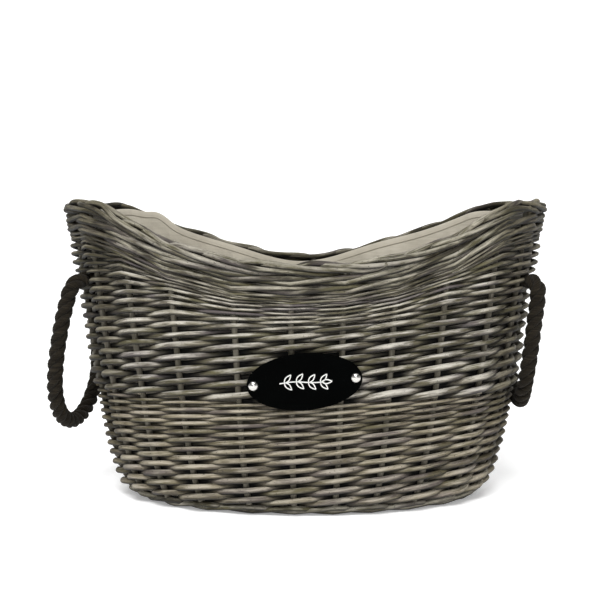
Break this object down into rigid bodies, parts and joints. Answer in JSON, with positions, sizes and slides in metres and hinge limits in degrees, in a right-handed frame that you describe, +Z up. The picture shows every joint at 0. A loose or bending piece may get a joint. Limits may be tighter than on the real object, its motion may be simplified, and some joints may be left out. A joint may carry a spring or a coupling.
{
  "type": "woven wicker basket",
  "caption": "Oval grey-washed willow log basket with a saddle rim, cloth liner, swinging rope handles and an oval sign plaque.",
  "frame": {"origin": "centre of the underside, on the surface that the basket stands on", "axes": "+X along the basket's length to its right end, -Y out of the front with the plaque, +Z up"},
  "size_m": [0.6084, 0.369, 0.3667],
  "materials": {
    "willow_weave": "matt grey lime wash over bark-on willow rods",
    "willow_stakes": "matt grey-brown willow",
    "liner_cloth": "plain-weave unbleached cotton canvas",
    "rope": "three-strand twisted jute rope, dyed near black, matt and hairy",
    "plaque_paint": "satin black paint",
    "plaque_motif": "off-white paint",
    "bright_steel": "bright plated steel"
  },
  "bodies": {
    "basket": {"base_weave": "willow_weave", "base_long_sticks": "willow_stakes", "base_cross_sticks": "willow_stakes", "foot_wale": "willow_weave", "lower_weave": "willow_weave", "dense_band": "willow_weave", "middle_weave": "willow_weave", "rim_wale": "willow_weave", "rim_border": "willow_weave", "stake_01": "willow_stakes", "stake_02": "willow_stakes", "stake_03": "willow_stakes", "stake_04": "willow_stakes", "stake_05": "willow_stakes", "stake_06": "willow_stakes", "stake_07": "willow_stakes", "stake_08": "willow_stakes", "stake_09": "willow_stakes", "stake_10": "willow_stakes", "stake_11": "willow_stakes", "stake_12": "willow_stakes", "stake_13": "willow_stakes", "stake_14": "willow_stakes", "stake_15": "willow_stakes", "stake_16": "willow_stakes", "stake_17": "willow_stakes", "stake_18": "willow_stakes", "stake_19": "willow_stakes", "stake_20": "willow_stakes", "stake_21": "willow_stakes", "stake_22": "willow_stakes", "stake_23": "willow_stakes", "stake_24": "willow_stakes", "liner_side": "liner_cloth", "liner_base": "liner_cloth", "left_front_rope_end": "rope", "left_back_rope_end": "rope", "right_front_rope_end": "rope", "right_back_rope_end": "rope", "plaque": "plaque_paint", "plaque_bolts": "bright_steel", "plaque_washers": "bright_steel", "plaque_nuts": "bright_steel"},
    "left_handle": {"left_rope_loop": "rope"},
    "right_handle": {"right_rope_loop": "rope"}
  },
  "joints": [
    {"name": "left_handle_swing", "type": "hinge", "parent": "basket", "child": "left_handle", "pos_m": [-0.283, 0, 0.27], "axis": [0, 1, 0], "range_deg": [0, 160]},
    {"name": "right_handle_swing", "type": "hinge", "parent": "basket", "child": "right_handle", "pos_m": [0.283, 0, 0.27], "axis": [0, -1, 0], "range_deg": [0, 160]}
  ]
}
